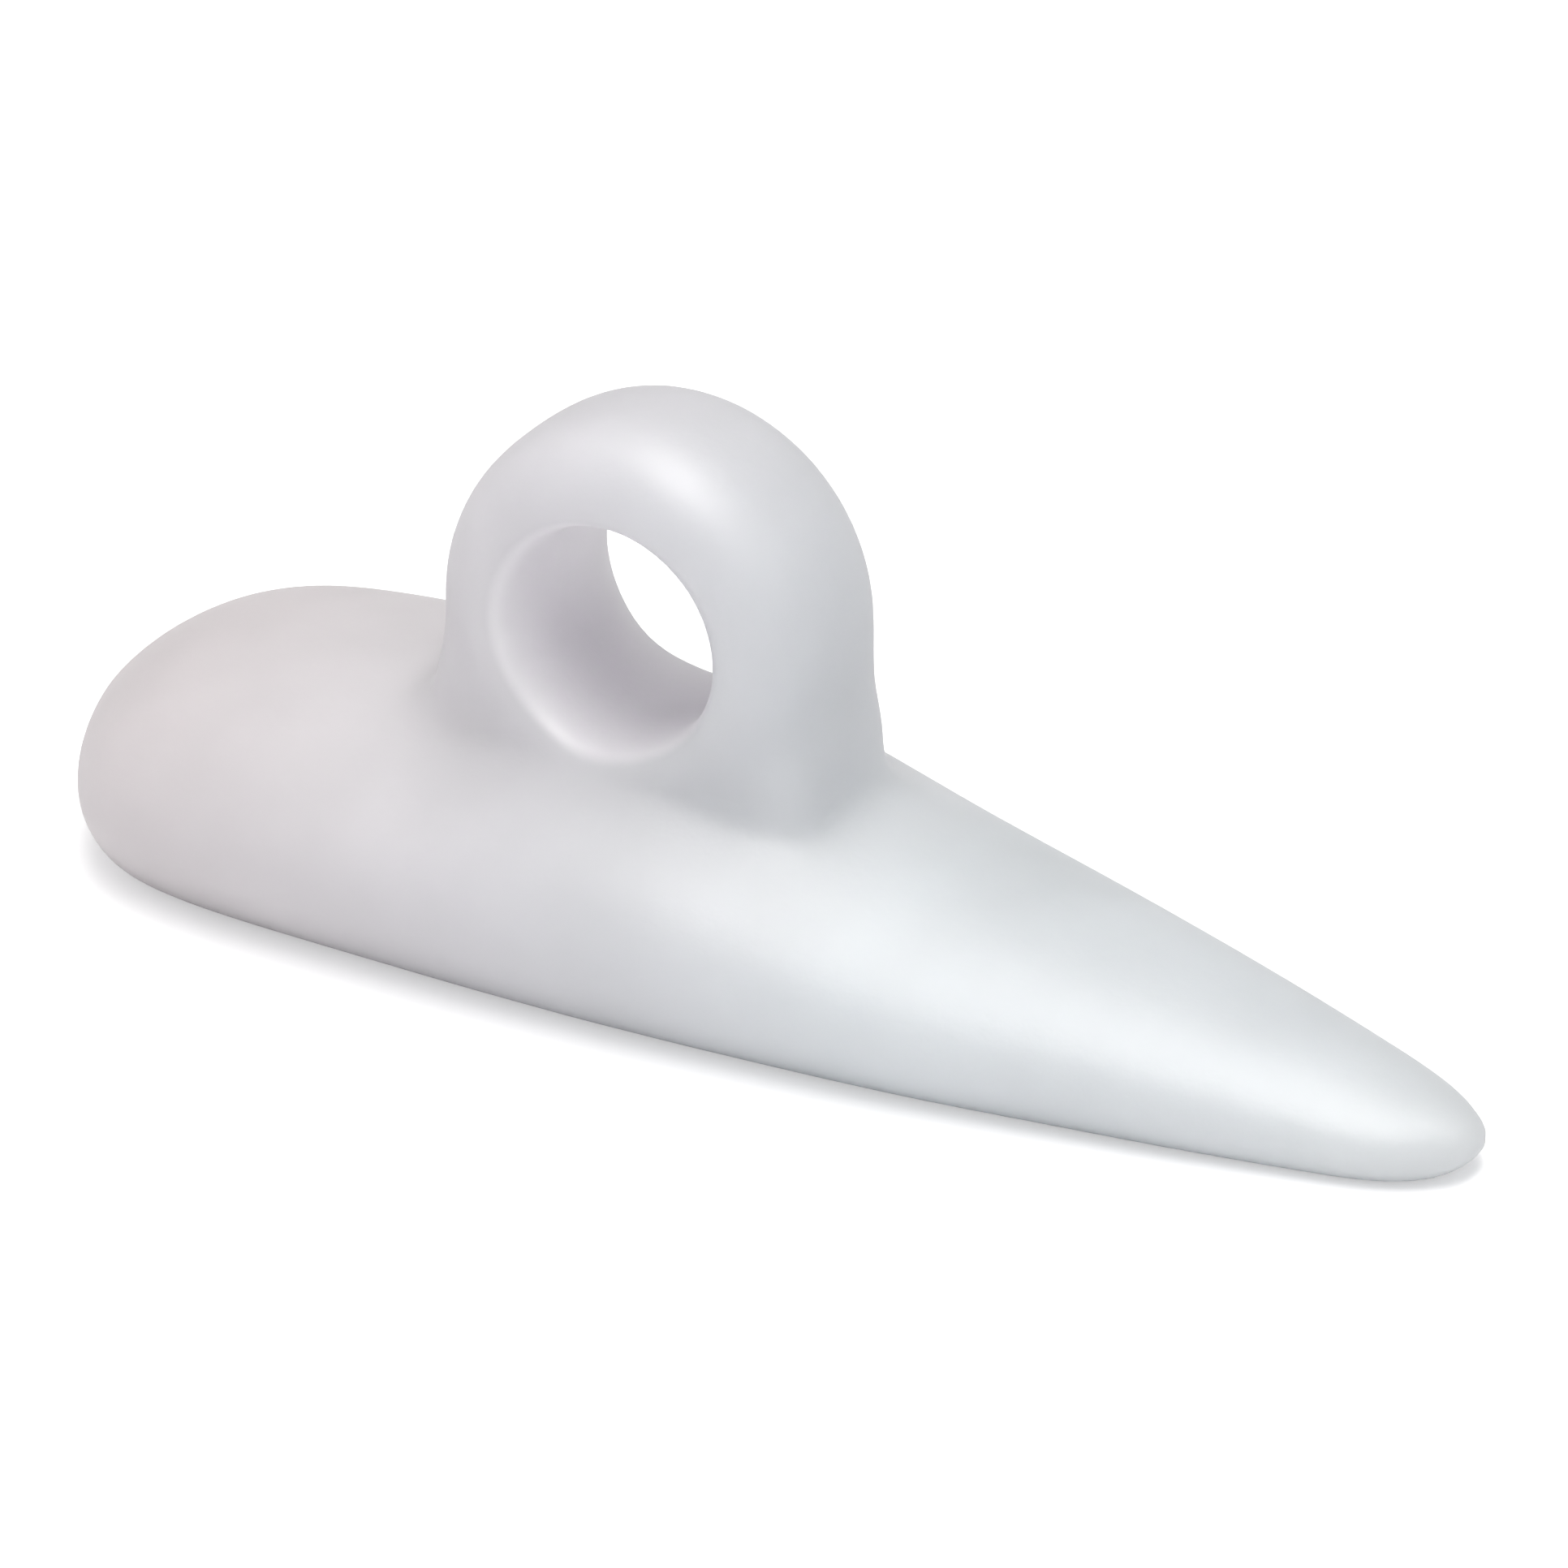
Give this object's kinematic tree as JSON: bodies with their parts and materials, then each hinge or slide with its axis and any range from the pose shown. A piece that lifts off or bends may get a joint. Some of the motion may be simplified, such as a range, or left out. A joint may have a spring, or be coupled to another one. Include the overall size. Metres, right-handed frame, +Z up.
{
  "type": "hammer toe cushion",
  "caption": "Soft moulded gel crest pad, tapered from a rounded thick end to a slim nose, with an integral toe ring standing on its crown.",
  "frame": {"origin": "middle of the pad's length and width, on the plane its flat underside rests on", "axes": "+X along the pad from its thick end to its nose, +Y along the way the toe goes through the ring, +Z up"},
  "size_m": [0.0839, 0.0284, 0.0308],
  "materials": {
    "gel": "satin milky translucent gel"
  },
  "bodies": {
    "root": {"toe_cushion": "gel"}
  },
  "joints": []
}
